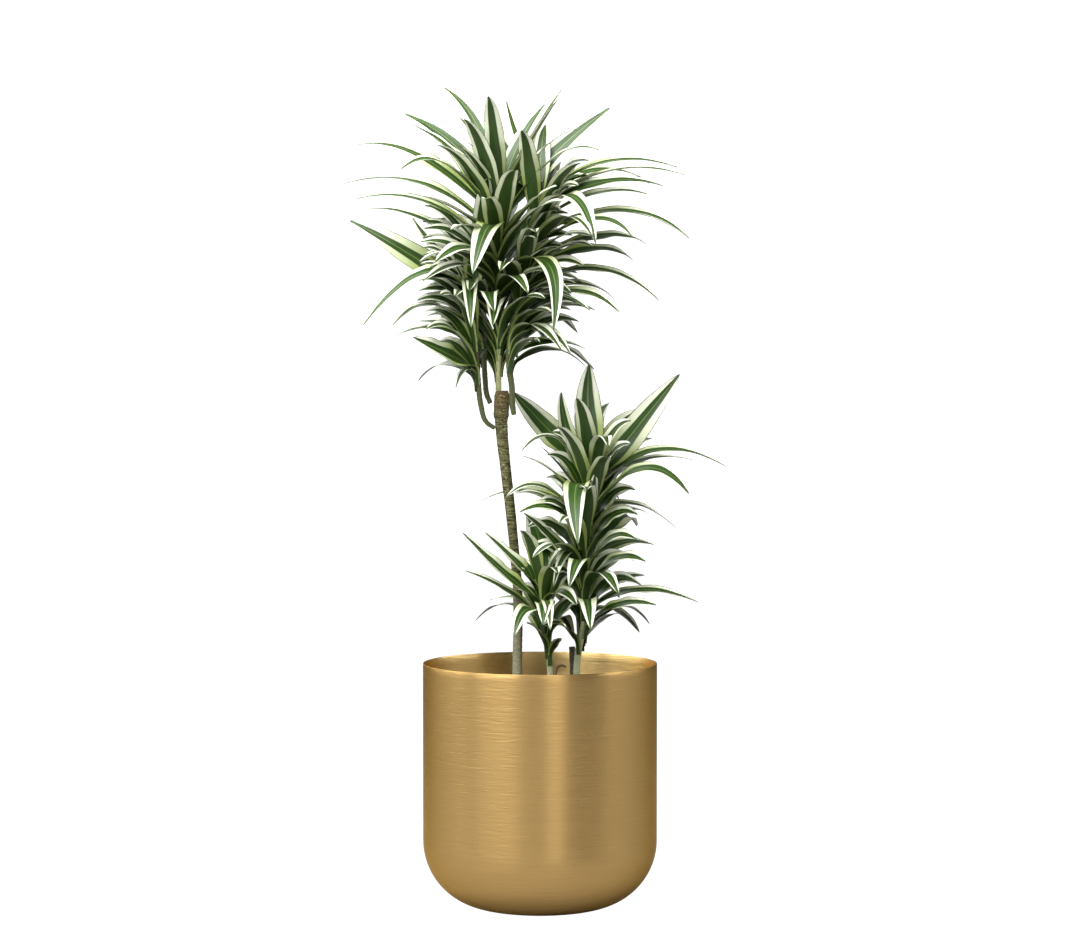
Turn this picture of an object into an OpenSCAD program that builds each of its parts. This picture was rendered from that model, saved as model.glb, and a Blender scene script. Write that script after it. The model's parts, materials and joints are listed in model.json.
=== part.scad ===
// Three-caned dracaena growing in a round-bottomed sheet metal planter.
// The origin is the centre of the flat underside of the planter, +Z is up
// and -Y is the front of the plant. All sizes are in millimetres.

/* [Planter] */
// Outside diameter of the planter
planter_d = 350; // [320:5:380]
// Height of the planter, floor to rim
planter_h = 365; // [340:5:380]
// Radius of the round corner between wall and underside
planter_corner_r = 100; // [80:5:120]
// Thickness of the metal sheet
sheet_t = 1.5; // [1:0.25:3]

/* [Soil] */
// Depth of the soil surface below the rim
soil_drop = 40; // [35:1:60]
// Slack between the soil and the planter wall
soil_slack = 0.2; // [0.1:0.1:1]
// How deep the canes stand in the soil
root_depth = 60; // [40:5:100]

/* [Canes] */
// Diameter of the tall cane at the soil
tall_cane_d = 14; // [12:1:16]
// Diameter of the swollen cut end of the tall cane
tall_cane_end_d = 23; // [20:1:24]
// Diameter of the short stump
stump_d = 11; // [9:1:12]
// Height of the short stump above the floor
stump_top = 388; // [375:1:395]
// Diameter of a leafy shoot at its foot
shoot_d = 9; // [8:0.5:10]

/* [Leaves] */
// Thickness of a leaf along its midrib
leaf_t = 1.4; // [1:0.1:2]
// Depth of the channel along a leaf, as a share of half its width
leaf_channel = 0.22; // [0.1:0.02:0.3]
// Width of a leaf where it leaves the shoot, as a share of its widest width
leaf_foot = 0.28; // [0.2:0.02:0.34]
// Leaves that share one whorl node
whorl_size = 6; // [4:1:6]

/* [Hidden] */
planter_r = planter_d / 2;
soil_top = planter_h - soil_drop;
root_z = soil_top - root_depth;
shoot_r = shoot_d / 2;
// Clearance between the foot of a leaf and its shoot.
gap = 0.4;
// Sides of the round sections of a cane and of a shoot.
cane_sides = 16;
shoot_sides = 10;

// Stations along a leaf where its cross-section is drawn; the tip follows at 1.
leaf_stations = [0, 0.1, 0.24, 0.4, 0.56, 0.72, 0.87];
// Share of a leaf's length over which it turns out of its foot's plane.
turn_length = 0.35;

// Route of each cane and shoot as [x, y, z, radius], from the foot up.
tall_cane_route = [
    [-34, 10, root_z, tall_cane_d / 2],
    [-34, 10, soil_top + 30, tall_cane_d / 2],
    [-34, 10, 480, tall_cane_d / 2],
    [-39, 10, 540, tall_cane_d / 2],
    [-45, 10, 600, 7.5],
    [-52, 10, 660, 8],
    [-57, 10, 710, 9],
    [-58, 10, 728, 9.5],
    [-58, 10, 734, tall_cane_end_d / 2],
    [-57, 10, 764, tall_cane_end_d / 2],
    [-57, 10, 772, 9]
];
stump_route = [
    [50, 12, root_z, stump_d / 2],
    [50, 12, soil_top + 40, stump_d / 2],
    [48, 12, stump_top, 4.5]
];
aerial_root_route = [
    [22, -2, soil_top - 12, 2.4],
    [23, -2, 350, 2.2],
    [27, -2, 359, 2],
    [34, -2, 361, 1.7],
    [39, -2, 359, 1.3]
];
top_shoot_route = [
    [-62, 10, 772.4, shoot_r],
    [-62, 8, 800, shoot_r],
    [-61, 4, 850, shoot_r],
    [-64, 0, 940, shoot_r - 0.5],
    [-62, 0, 1000, shoot_r - 1],
    [-60, 0, 1050, shoot_r - 2.5]
];
right_shoot_route = [
    [-39, 2, 736, shoot_r - 1],
    [-41, 0, 750, shoot_r],
    [-42, -2, 778, shoot_r],
    [-46, -4, 807, shoot_r],
    [-44, -6, 850, shoot_r],
    [-35, -5, 900, shoot_r],
    [-22, 0, 950, shoot_r],
    [-10, 0, 1000, shoot_r - 0.5],
    [-2, 0, 1055, shoot_r - 2.5]
];
left_shoot_route = [
    [-74, 12, 753, shoot_r - 1],
    [-79, 13, 764, shoot_r - 0.5],
    [-82, 15, 788, shoot_r - 0.5],
    [-84, 20, 840, shoot_r - 0.5],
    [-86, 26, 900, shoot_r - 0.5],
    [-92, 30, 990, shoot_r - 2]
];
outer_shoot_route = [
    [-68, 4, 716, shoot_r - 1.5],
    [-80, 0, 725, shoot_r - 1],
    [-88, -4, 750, shoot_r - 0.5],
    [-92, -8, 788, shoot_r - 0.5],
    [-96, -12, 850, shoot_r - 0.5],
    [-100, -14, 930, shoot_r - 2]
];
middle_shoot_route = [
    [57, -4, root_z, shoot_r],
    [57, -4, 380, shoot_r + 0.5],
    [63, -4, 410, shoot_r],
    [67, -4, 468, shoot_r],
    [64, -4, 513, shoot_r],
    [70, -4, 560, shoot_r],
    [76, -4, 605, shoot_r - 0.5],
    [80, -4, 660, shoot_r - 2]
];
small_shoot_route = [
    [15, -28, root_z, shoot_r - 0.5],
    [15, -28, 350, shoot_r - 0.5],
    [12, -28, 400, shoot_r],
    [6, -26, 440, shoot_r],
    [1, -24, 490, shoot_r - 2]
];

// Routes that start in the soil.
rooted = [tall_cane_route, stump_route, aerial_root_route, middle_shoot_route, small_shoot_route];

// Leaves of each shoot, from the lowest up: [height of the foot, arch point, tip, width, turn].
// The arch point pulls the midrib up and out of the straight line from foot to tip,
// and the turn, in degrees, rolls the upper face towards the front.
top_shoot_leaves = [
    [850, [-35, -70, 930], [8, -130, 905], 24, 20],
    [885, [-85, -95, 948], [-65, -170, 885], 26, 0],
    [905, [-20, -60, 965], [20, -110, 945], 24, 30],
    [920, [-105, -60, 990], [-170, -125, 930], 28, 15],
    [940, [41, -100, 1020], [19, -190, 857], 28, 5],
    [950, [-100, -95, 1010], [-150, -185, 955], 30, 20],
    [965, [-15, -75, 1055], [35, -145, 1045], 26, 25],
    [975, [-158, -30, 1085], [-271, -60, 1053], 24, 25],
    [982, [-12, -60, 1065], [25, -125, 1068], 28, 30],
    [990, [-123, -65, 1060], [-218, -130, 1060], 24, 15],
    [1000, [-176, 30, 1135], [-330, 60, 1071], 24, 20],
    [1005, [-75, -95, 1045], [-96, -185, 939], 34, 0],
    [1008, [-86, 75, 1143], [-209, 150, 1197], 36, 30],
    [1018, [-5, 40, 1121], [107, 80, 1200], 34, 45],
    [1020, [-143, -45, 1153], [-203, -90, 1094], 26, 20],
    [1020, [25, -35, 1158], [88, -70, 1123], 18, 25],
    [1025, [-184, 50, 1161], [-278, 90, 1144], 24, 30],
    [1030, [-105, 20, 1130], [-190, 40, 1170], 24, 15],
    [1035, [-10, -20, 1143], [60, -40, 1160], 24, 20],
    [1040, [-85, -30, 1110], [-118, -70, 1130], 18, 0],
    [1045, [-22, -45, 1135], [27, -80, 1198], 24, 20],
    [1050, [-78, 50, 1185], [-147, 130, 1235], 24, 25],
    [1055, [-12, 75, 1165], [34, 130, 1233], 18, 0],
    [1060, [-66, -12, 1118], [-80, -25, 1158], 24, 0],
    [1064, [-38, 20, 1150], [8, 70, 1204], 24, 15]
];
right_shoot_leaves = [
    [808, [20, 60, 862], [72, 120, 805], 18, 20],
    [814, [-20, -65, 862], [0, -125, 842], 16, 0],
    [824, [15, 30, 862], [71, 60, 833], 18, 25],
    [842, [5, -60, 895], [45, -120, 824], 18, 30],
    [855, [-18, -55, 908], [18, -105, 885], 24, 15],
    [870, [25, -30, 915], [82, -65, 890], 18, 20],
    [890, [60, -50, 950], [115, -110, 886], 24, 25],
    [905, [60, 35, 960], [114, 75, 909], 18, 30],
    [920, [92, -15, 993], [177, -30, 904], 22, 25],
    [935, [35, -45, 1010], [78, -95, 981], 24, 15],
    [950, [92, -20, 1008], [138, -45, 963], 28, -20],
    [957, [29, -65, 1020], [78, -135, 994], 24, 20],
    [965, [115, 50, 1031], [164, 100, 992], 24, 25],
    [977, [41, -85, 1066], [75, -175, 992], 26, 0],
    [985, [93, -55, 1060], [134, -110, 995], 24, 30],
    [1000, [121, 20, 1080], [227, 40, 999], 24, 15],
    [1010, [146, -40, 1073], [218, -80, 994], 24, 20],
    [1022, [89, -30, 1086], [158, -60, 1060], 24, 25],
    [1030, [57, -75, 1106], [80, -155, 983], 28, 10],
    [1040, [99, 30, 1110], [188, 60, 1079], 24, 30],
    [1045, [50, 35, 1090], [82, 65, 1110], 18, 0],
    [1050, [110, -50, 1125], [212, -100, 1085], 24, 15],
    [1055, [-42, 30, 1115], [-71, 50, 1167], 32, 30],
    [1060, [96, -20, 1142], [205, -40, 1100], 24, 20],
    [1065, [107, 60, 1139], [175, 120, 1080], 24, 25],
    [1068, [-35, 35, 1140], [-51, 90, 1211], 18, 0]
];
left_shoot_leaves = [
    [835, [-120, 45, 880], [-187, 100, 877], 24, 30],
    [852, [-166, -25, 939], [-217, -55, 867], 24, 15],
    [890, [-130, 75, 965], [-200, 140, 945], 24, 20],
    [905, [-197, 45, 983], [-288, 70, 1029], 38, 50],
    [935, [-162, 60, 982], [-195, 115, 1036], 22, 20],
    [960, [-167, 20, 1050], [-256, 25, 1044], 24, 20]
];
outer_shoot_leaves = [
    [788, [-140, 55, 840], [-187, 120, 785], 24, 25],
    [796, [-115, -30, 818], [-124, -55, 775], 12, 0],
    [805, [-132, -50, 826], [-185, -100, 850], 34, 55],
    [835, [-150, -12, 886], [-215, -20, 853], 18, 20],
    [905, [-158, -45, 1008], [-259, -90, 866], 32, 20],
    [925, [-105, -90, 965], [-99, -150, 863], 22, 0]
];
middle_shoot_leaves = [
    [394, [36, -28, 440], [5, -50, 424], 22, 30],
    [398, [92, 35, 436], [122, 85, 432], 12, 0],
    [410, [75, 50, 530], [95, 150, 460], 38, 0],
    [418, [110, -32, 472], [172, -60, 456], 24, 30],
    [406, [125, 50, 480], [168, 105, 413], 14, 0],
    [442, [139, 0, 500], [238, 0, 455], 24, 20],
    [458, [110, 50, 495], [160, 90, 490], 24, 25],
    [482, [111, -28, 545], [156, -52, 520], 28, 30],
    [490, [60, -90, 560], [42, -160, 490], 26, 0],
    [495, [23, -18, 557], [-25, -30, 591], 24, 45],
    [510, [115, 70, 560], [179, 140, 532], 24, 30],
    [518, [120, 60, 622], [150, 170, 560], 40, 30],
    [532, [32, -42, 550], [20, -80, 484], 14, 10],
    [550, [5, 12, 645], [-44, 30, 612], 16, 15],
    [560, [20, -32, 622], [-30, -60, 593], 24, 35],
    [562, [115, 70, 610], [168, 125, 582], 24, 20],
    [566, [2, -28, 670], [-51, -50, 614], 18, 25],
    [568, [78, -30, 618], [82, -48, 652], 16, 0],
    [576, [-10, 45, 650], [-90, 90, 603], 18, 30],
    [582, [131, 20, 633], [207, 40, 563], 24, 15],
    [592, [157, -38, 709], [219, -70, 620], 32, 25],
    [592, [26, -25, 662], [-28, -40, 676], 16, 20],
    [595, [95, 100, 640], [123, 170, 602], 14, 0],
    [602, [33, 10, 661], [0, 20, 689], 14, 0],
    [612, [40, -70, 680], [55, -155, 552], 34, 0],
    [617, [161, 15, 728], [282, 30, 656], 24, 20],
    [620, [120, 60, 700], [172, 110, 698], 24, 25],
    [624, [30, 25, 718], [32, 50, 770], 22, 20],
    [612, [140, 105, 690], [238, 115, 664], 22, 10],
    [636, [137, 45, 706], [213, 90, 797], 38, 55],
    [634, [92, -35, 738], [100, -85, 690], 26, 0],
    [640, [19, -20, 745], [-28, -34, 681], 18, 15],
    [650, [8, 60, 716], [-41, 110, 769], 34, 50],
    [645, [112, 65, 728], [162, 135, 742], 30, 35],
    [654, [80, 82, 742], [108, 165, 752], 18, 0],
    [658, [68, 15, 740], [74, 60, 812], 37, 0]
];
small_shoot_leaves = [
    [380, [24, -45, 405], [31, -65, 408], 14, 0],
    [390, [0, -52, 425], [-20, -75, 431], 20, 30],
    [408, [22, -55, 440], [38, -92, 425], 14, 0],
    [420, [-48, 80, 478], [-100, 130, 416], 14, 10],
    [427, [-15, 75, 475], [-78, 95, 451], 18, 25],
    [432, [-43, -42, 485], [-111, -60, 507], 18, 30],
    [440, [-28, -90, 473], [-37, -130, 417], 24, 15],
    [452, [12, -80, 485], [15, -132, 425], 16, 0],
    [456, [30, -55, 497], [54, -80, 457], 26, 20],
    [460, [-44, -50, 492], [-115, -75, 565], 26, 45],
    [480, [-35, -20, 522], [-82, -30, 562], 24, 35],
    [486, [8, 20, 560], [-20, 70, 582], 34, 0]
];

// Each shoot as [name, route, placed leaves, fans], with each fan as
// [count, lowest foot, highest foot, reach, bearings, width, turn, pitches].
// Its leaves take the two bearings by turns, and their pitch goes from the first
// of the two pitches at the lowest foot to the second at the highest.
SHOOTS = [
    [
        "top_shoot", top_shoot_route, top_shoot_leaves,
        [
            [18, 880, 1045, 180, [100, -100], 26, 0, [-12, 60]],
            [20, 800, 955, 140, [172, 2], 27, 36, [28, 36]]
        ]
    ],
    [
        "right_shoot", right_shoot_route, right_shoot_leaves,
        [
            [15, 835, 1035, 160, [70, -70], 26, 0, [-12, 60]],
            [12, 862, 1030, 120, [45, -50], 27, 30, [15, 42]]
        ]
    ],
    [
        "left_shoot", left_shoot_route, left_shoot_leaves,
        [
            [4, 850, 955, 150, [105, -105], 26, 0, [-12, 60]],
            [8, 822, 955, 125, [165, -165], 27, 40, [28, 48]]
        ]
    ],
    [
        "outer_shoot", outer_shoot_route, outer_shoot_leaves,
        [
            [3, 820, 900, 120, [112, -112], 26, 0, [-12, 60]],
            [7, 786, 905, 110, [175, -150], 25, 25, [28, 45]]
        ]
    ],
    [
        "middle_shoot", middle_shoot_route, middle_shoot_leaves,
        [
            [16, 430, 640, 140, [85, -95], 26, 0, [-12, 60]],
            [16, 425, 645, 100, [172, 8], 27, 35, [20, 55]]
        ]
    ],
    [
        "small_shoot", small_shoot_route, small_shoot_leaves,
        [
            [6, 415, 480, 100, [100, -100], 26, 0, [-12, 60]],
            [6, 392, 474, 75, [160, 15], 22, 30, [25, 55]]
        ]
    ]
];

// Leaves of a fan are spread about their bearing by the golden share.
fan_spread = 70;
golden_share = 0.618;

function whorl_count(shoot) = ceil(len(all_leaves(shoot)) / whorl_size);
function whorl_name(shoot, i) = str(shoot[0], "_leaves_", i + 1);

// ---- Vectors and curves ----

function unit(v) = v / norm(v);
function flat(v) = [v.x, v.y, 0];
function mix(a, b, t) = a * (1 - t) + b * t;
function frac(x) = x - floor(x);
function curve(a, b, c, t) = mix(mix(a, b, t), mix(b, c, t), t);
function curve_dir(a, b, c, t) = unit(mix(b - a, c - b, t));

// Index of the last point of a route that lies at or below height z.
function route_index(route, z) =
    max([0, for (i = [0 : len(route) - 2]) if (route[i].z <= z) i]);

// Point of a route, as [x, y, z, radius], at height z.
function route_at(route, z) =
    let (i = route_index(route, z), a = route[i], b = route[i + 1])
    mix(a, b, (z - a.z) / (b.z - a.z));

// ---- Leaves ----

// Leaf i of a fan. It droops more the farther it reaches out level.
function fan_leaf(shoot, fan, i) =
    let (
        t = i / (fan[0] - 1),
        foot_z = mix(fan[1], fan[2], t),
        bearing = fan[4][i % 2] + fan_spread * (frac(i * golden_share) - 0.5),
        pitch = mix(fan[7][0], fan[7][1], t),
        reach = fan[3] * cos(pitch),
        rise = fan[3] * sin(pitch),
        axis = route_at(shoot[1], foot_z),
        out = [cos(bearing), sin(bearing), 0],
        foot = [axis.x, axis.y, foot_z]
    )
    [
        foot_z,
        foot + out * reach * 0.45 + [0, 0, rise * 0.6 + 60 * cos(pitch)],
        foot + out * reach + [0, 0, rise],
        fan[5],
        fan[6]
    ];

function all_leaves(shoot) =
    concat(shoot[2], [for (fan = shoot[3]) for (i = [0 : fan[0] - 1]) fan_leaf(shoot, fan, i)]);

// Half width of a leaf at t: it swells from its foot and runs out in a long point.
function half_width(w, t) =
    w / 2 * (leaf_foot + (1 - leaf_foot) * sin(90 * min(1, t / 0.45))) * pow(1 - pow(t, 3), 0.8);

// Four corners of a leaf's cross-section: one edge, upper midrib, other edge, lower midrib.
function leaf_section(foot, leaf, t) =
    let (
        centre = curve(foot, leaf[1], leaf[2], t),
        dir = curve_dir(foot, leaf[1], leaf[2], t),
        lean = unit(flat(leaf[2] - foot)),
        level = [-lean.y, lean.x, 0],
        across0 = unit(level - (level * dir) * dir),
        up0 = cross(dir, across0),
        side = leaf[2].x > foot.x ? 1 : -1,
        turn = side * leaf[4] * min(1, t / turn_length),
        across = across0 * cos(turn) + up0 * sin(turn),
        up = cross(dir, across),
        half = half_width(leaf[3], t),
        rise = up * half * leaf_channel
    )
    [
        centre + across * half + rise,
        centre + up * leaf_t / 2,
        centre - across * half + rise,
        centre - up * leaf_t / 2
    ];

// Quads between two rings of n points, split by diagonals that mirror each other
// about every second point, so that the two faces of a thin leaf stay apart.
function band(i, n) = [
    for (j = [0 : n - 1])
        let (a = i * n + j, b = i * n + (j + 1) % n)
        each j % 2 == 0
            ? [[b + n, b, a], [a + n, b + n, a]]
            : [[b, a, a + n], [a + n, b + n, b]]
];

module leaf(route, leaf) {
    axis = route_at(route, leaf[0]);
    hub = [axis.x, axis.y, leaf[0]];
    foot = hub + unit(flat(leaf[2] - hub)) * (axis[3] + leaf_t / 2 + gap);
    rings = len(leaf_stations);
    points = concat(
        [for (t = leaf_stations) each leaf_section(foot, leaf, t)],
        [leaf[2]]
    );
    last = 4 * (rings - 1);
    tip = 4 * rings;
    faces = concat(
        [[0, 1, 3], [1, 2, 3]],
        [for (i = [0 : rings - 2]) each band(i, 4)],
        [for (j = [0 : 3]) [last + (j + 1) % 4, last + j, tip]]
    );
    polyhedron(points, faces);
}

module whorl(shoot, i) {
    leaves = all_leaves(shoot);
    first = i * whorl_size;
    last = min(first + whorl_size, len(leaves)) - 1;
    color(i % 2 == 0 ? "darkgreen" : "forestgreen")
        for (k = [first : last]) leaf(shoot[1], leaves[k]);
}

// ---- Canes, stump, root and shoots ----

// Solid of round sections along a route, each square to the route there.
module stem(route, sides) {
    n = len(route);
    place = [for (p = route) [p.x, p.y, p.z]];
    points = [
        for (i = [0 : n - 1])
            let (
                dir = unit(place[min(i + 1, n - 1)] - place[max(i - 1, 0)]),
                u = unit(cross([0, 1, 0], dir)),
                v = cross(dir, u)
            )
            for (j = [0 : sides - 1])
                place[i] + route[i][3] * (u * cos(360 * j / sides) + v * sin(360 * j / sides))
    ];
    faces = concat(
        [[for (j = [0 : sides - 1]) j]],
        [for (i = [0 : n - 2]) each band(i, sides)],
        [[for (j = [sides - 1 : -1 : 0]) (n - 1) * sides + j]]
    );
    polyhedron(points, faces);
}

module tall_cane() {
    color("darkolivegreen") stem(tall_cane_route, cane_sides);
}

module stump() {
    color("saddlebrown") stem(stump_route, cane_sides);
}

module aerial_root() {
    color("sienna") stem(aerial_root_route, shoot_sides);
}

module shoot_stem(shoot) {
    color("yellowgreen") stem(shoot[1], shoot_sides);
}

// ---- Planter and soil ----

// Half outline of a cup with a flat underside and one round corner.
module cup_outline(r, h, corner) {
    translate([0, corner]) square([r, h - corner]);
    square([r - corner, corner]);
    intersection() {
        translate([r - corner, corner]) circle(corner, $fn = 96);
        translate([r - corner, 0]) square([corner, corner]);
    }
}

module planter_shell() {
    color("goldenrod")
    rotate_extrude($fn = 96)
    difference() {
        cup_outline(planter_r, planter_h, planter_corner_r);
        translate([0, sheet_t])
            cup_outline(planter_r - sheet_t, planter_h, planter_corner_r - sheet_t);
    }
}

// Round hole for the part of a stem that stands in the soil.
module socket(route) {
    foot = route[0];
    translate([foot.x, foot.y, foot.z])
        cylinder(h = planter_h, r = foot[3] + soil_slack, $fn = 48);
}

module potting_soil() {
    inner_r = planter_r - sheet_t - soil_slack;
    corner = planter_corner_r - sheet_t - soil_slack;
    color("saddlebrown")
    difference() {
        translate([0, 0, sheet_t])
            rotate_extrude($fn = 96) cup_outline(inner_r, soil_top - sheet_t, corner);
        for (route = rooted)
            socket(route);
    }
}

planter_shell();
potting_soil();
tall_cane();
stump();
aerial_root();
for (s = SHOOTS)
    shoot_stem(s);
for (s = SHOOTS)
    for (i = [0 : whorl_count(s) - 1])
        whorl(s, i);
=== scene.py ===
"""Looks of a three-stemmed dracaena in a brushed golden planter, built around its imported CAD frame."""

import json
import logging
import math
from collections.abc import Sequence
from dataclasses import dataclass, field
from enum import Enum

import bpy
import numpy as np
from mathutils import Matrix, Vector, noise


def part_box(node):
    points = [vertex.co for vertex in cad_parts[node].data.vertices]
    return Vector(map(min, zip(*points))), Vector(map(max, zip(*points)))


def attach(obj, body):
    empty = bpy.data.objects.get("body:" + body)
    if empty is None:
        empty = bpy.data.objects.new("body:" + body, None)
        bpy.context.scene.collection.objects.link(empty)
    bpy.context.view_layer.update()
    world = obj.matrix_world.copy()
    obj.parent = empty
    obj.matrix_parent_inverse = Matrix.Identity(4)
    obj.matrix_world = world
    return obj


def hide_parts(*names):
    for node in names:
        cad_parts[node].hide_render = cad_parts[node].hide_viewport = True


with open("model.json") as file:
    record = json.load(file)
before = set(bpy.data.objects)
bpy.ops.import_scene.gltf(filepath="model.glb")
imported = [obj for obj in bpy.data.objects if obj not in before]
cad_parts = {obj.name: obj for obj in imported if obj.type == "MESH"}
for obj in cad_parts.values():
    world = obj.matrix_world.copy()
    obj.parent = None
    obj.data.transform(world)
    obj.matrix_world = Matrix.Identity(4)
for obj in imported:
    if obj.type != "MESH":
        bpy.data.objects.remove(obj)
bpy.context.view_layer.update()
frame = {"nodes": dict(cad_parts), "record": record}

log = logging.getLogger("dracaena")

MM = 0.001
BODY = "root"
UP = np.array([0.0, 0.0, 1.0])
TURN = 2.0 * math.pi

# Points of a CAD node closer in height than this lie on one level.
LEVEL = 0.01 * MM

Pair = tuple[float, float]
Triple = tuple[float, float, float]
Quad = tuple[float, float, float, float]
Stops = tuple[Pair, ...]


class Slot(Enum):
    """Material slots of the record."""

    PLANTER = "planter_metal"
    SOIL = "soil"
    BARK = "cane_bark"
    STEM = "green_stem"
    LEAF = "leaf"


# ---- Small numeric helpers ----


def unit(v: np.ndarray) -> np.ndarray:
    """Vector or rows of vectors at length 1."""
    return v / np.maximum(np.linalg.norm(v, axis=-1, keepdims=True), 1e-12)


def smooth(low: float, high: float, x: np.ndarray | float) -> np.ndarray | float:
    """Smooth step from 0 at low to 1 at high."""
    t = np.clip((x - low) / (high - low), 0.0, 1.0)
    return t * t * (3.0 - 2.0 * t)


def hermite(
    t: np.ndarray, start: np.ndarray, leaving: np.ndarray, end: np.ndarray, arriving: np.ndarray
) -> np.ndarray:
    """Points of smooth curves from one end to the other.

    Args:
        t: Place along the curves, 0 to 1, as a column.
        start: Where they start.
        leaving: Their slope there.
        end: Where they end.
        arriving: Their slope there.

    Returns:
        One point a row.
    """
    return (
        (2 * t**3 - 3 * t**2 + 1) * start
        + (t**3 - 2 * t**2 + t) * leaving
        + (3 * t**2 - 2 * t**3) * end
        + (t**3 - t**2) * arriving
    )


def turned(line: np.ndarray, segments: int, start: float = 0.0) -> np.ndarray:
    """Half outline turned round the upright axis.

    Args:
        line: Radius and height of each ring.
        segments: Points round a ring.
        start: Angle of its first point.

    Returns:
        Points as ring, place round it, coordinate.
    """
    turns = TURN * np.arange(segments) / segments + start
    ring = np.stack([np.cos(turns), np.sin(turns)], axis=1)
    rings = np.empty((len(line), segments, 3))
    rings[:, :, :2] = line[:, None, 0:1] * ring[None]
    rings[:, :, 2] = line[:, None, 1]
    return rings


def srgb(code: str) -> Quad:
    """Linear colour with alpha 1 of a six-digit sRGB code.

    Args:
        code: Red, green and blue as hexadecimal digits.

    Returns:
        Red, green, blue and alpha, linear.
    """
    parts = [int(code[i : i + 2], 16) / 255.0 for i in (0, 2, 4)]
    linear = [p / 12.92 if p <= 0.04045 else ((p + 0.055) / 1.055) ** 2.4 for p in parts]
    return (linear[0], linear[1], linear[2], 1.0)


# ---- Reading the frame ----


@dataclass
class Island:
    """One closed solid of a CAD node, with its vertices merged by place."""

    points: np.ndarray
    near: list[set[int]]

    def levels(self, start: list[int]) -> list[list[int]]:
        """Vertices by their number of edges from the start.

        Args:
            start: Vertices at level 0.

        Returns:
            One list of vertices a level.
        """
        seen = set(start)
        found = [sorted(start)]
        while True:
            step = sorted({n for v in found[-1] for n in self.near[v]} - seen)
            if not step:
                return found
            seen.update(step)
            found.append(step)


def islands(node: str) -> list[Island]:
    """Solids of a CAD node, in the order of their first vertices.

    Args:
        node: Name of the CAD node.

    Returns:
        One island a solid.
    """
    mesh = frame["nodes"][node].data
    flat = np.zeros(len(mesh.vertices) * 3)
    mesh.vertices.foreach_get("co", flat)
    places = np.round(flat.reshape(-1, 3), 6)
    points, merged = np.unique(places, axis=0, return_inverse=True)
    merged = merged.ravel()
    near: list[set[int]] = [set() for _ in points]
    for a, b in mesh.edge_keys:
        if merged[a] != merged[b]:
            near[merged[a]].add(int(merged[b]))
            near[merged[b]].add(int(merged[a]))
    left = set(range(len(points)))
    found = []
    while left:
        whole = Island(points, near).levels([min(left)])
        members = sorted(v for level in whole for v in level)
        left -= set(members)
        index = {v: i for i, v in enumerate(members)}
        found.append(Island(points[members], [{index[n] for n in near[v]} for v in members]))
    return found


@dataclass
class Cup:
    """Half outline of a round cup: flat underside, round corner, straight wall."""

    radius: float
    flat_radius: float
    low: float
    high: float

    @classmethod
    def read(cls, node: str) -> "Cup":
        """Outline of the outside of a turned CAD node.

        Args:
            node: Name of the CAD node.

        Returns:
            The outline.
        """
        points = np.vstack([i.points for i in islands(node)])
        reach = np.hypot(points[:, 0], points[:, 1])
        low, high = points[:, 2].min(), points[:, 2].max()
        under = reach[points[:, 2] < low + LEVEL]
        return cls(reach.max(), under.max(), low, high)

    def outline(self, inset: float = 0.0, corner_steps: int = 28) -> list[Pair]:
        """Points round the corner, from the edge of the flat underside to the foot of the wall.

        Args:
            inset: How far inside the outline the points lie.
            corner_steps: Steps round the corner.

        Returns:
            Radius and height of each point.
        """
        corner = self.radius - self.flat_radius
        line = []
        for i in range(corner_steps + 1):
            turn = 0.5 * math.pi * i / corner_steps
            radius = self.flat_radius + (corner - inset) * math.sin(turn)
            line.append((radius, self.low + corner - (corner - inset) * math.cos(turn)))
        return line


@dataclass
class StemPath:
    """Centre line and radius of a round CAD node, from its foot up."""

    centres: np.ndarray
    radii: np.ndarray

    @classmethod
    def read(cls, node: str, sides: int) -> "StemPath":
        """Path of a stem whose CAD sections have that many sides.

        Args:
            node: Name of the CAD node.
            sides: Sides of each section.

        Returns:
            The path.
        """
        island = islands(node)[0]
        foot = np.argsort(island.points[:, 2])[:sides].tolist()
        rings = [island.points[level] for level in island.levels(foot)]
        centres = np.array([ring.mean(axis=0) for ring in rings])
        radii = np.array([np.linalg.norm(r - c, axis=1).mean() for r, c in zip(rings, centres)])
        return cls(centres, radii)

    def fine(self, step: float) -> tuple[np.ndarray, np.ndarray, np.ndarray]:
        """The path drawn again through closer points.

        Args:
            step: Distance between the points.

        Returns:
            Arc lengths, centres and radii.
        """
        spans = np.linalg.norm(np.diff(self.centres, axis=0), axis=1)
        knots = np.concatenate([[0.0], np.cumsum(spans)])
        slopes = np.gradient(self.centres, knots, axis=0)
        arc = np.linspace(0.0, knots[-1], max(8, round(knots[-1] / step)))
        at = np.clip(np.searchsorted(knots, arc, side="right") - 1, 0, len(knots) - 2)
        span = (knots[at + 1] - knots[at])[:, None]
        t = (arc - knots[at])[:, None] / span
        low, high = self.centres[at], self.centres[at + 1]
        centres = hermite(t, low, span * slopes[at], high, span * slopes[at + 1])
        return arc, centres, np.interp(arc, knots, self.radii)


# ---- Meshes ----


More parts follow.
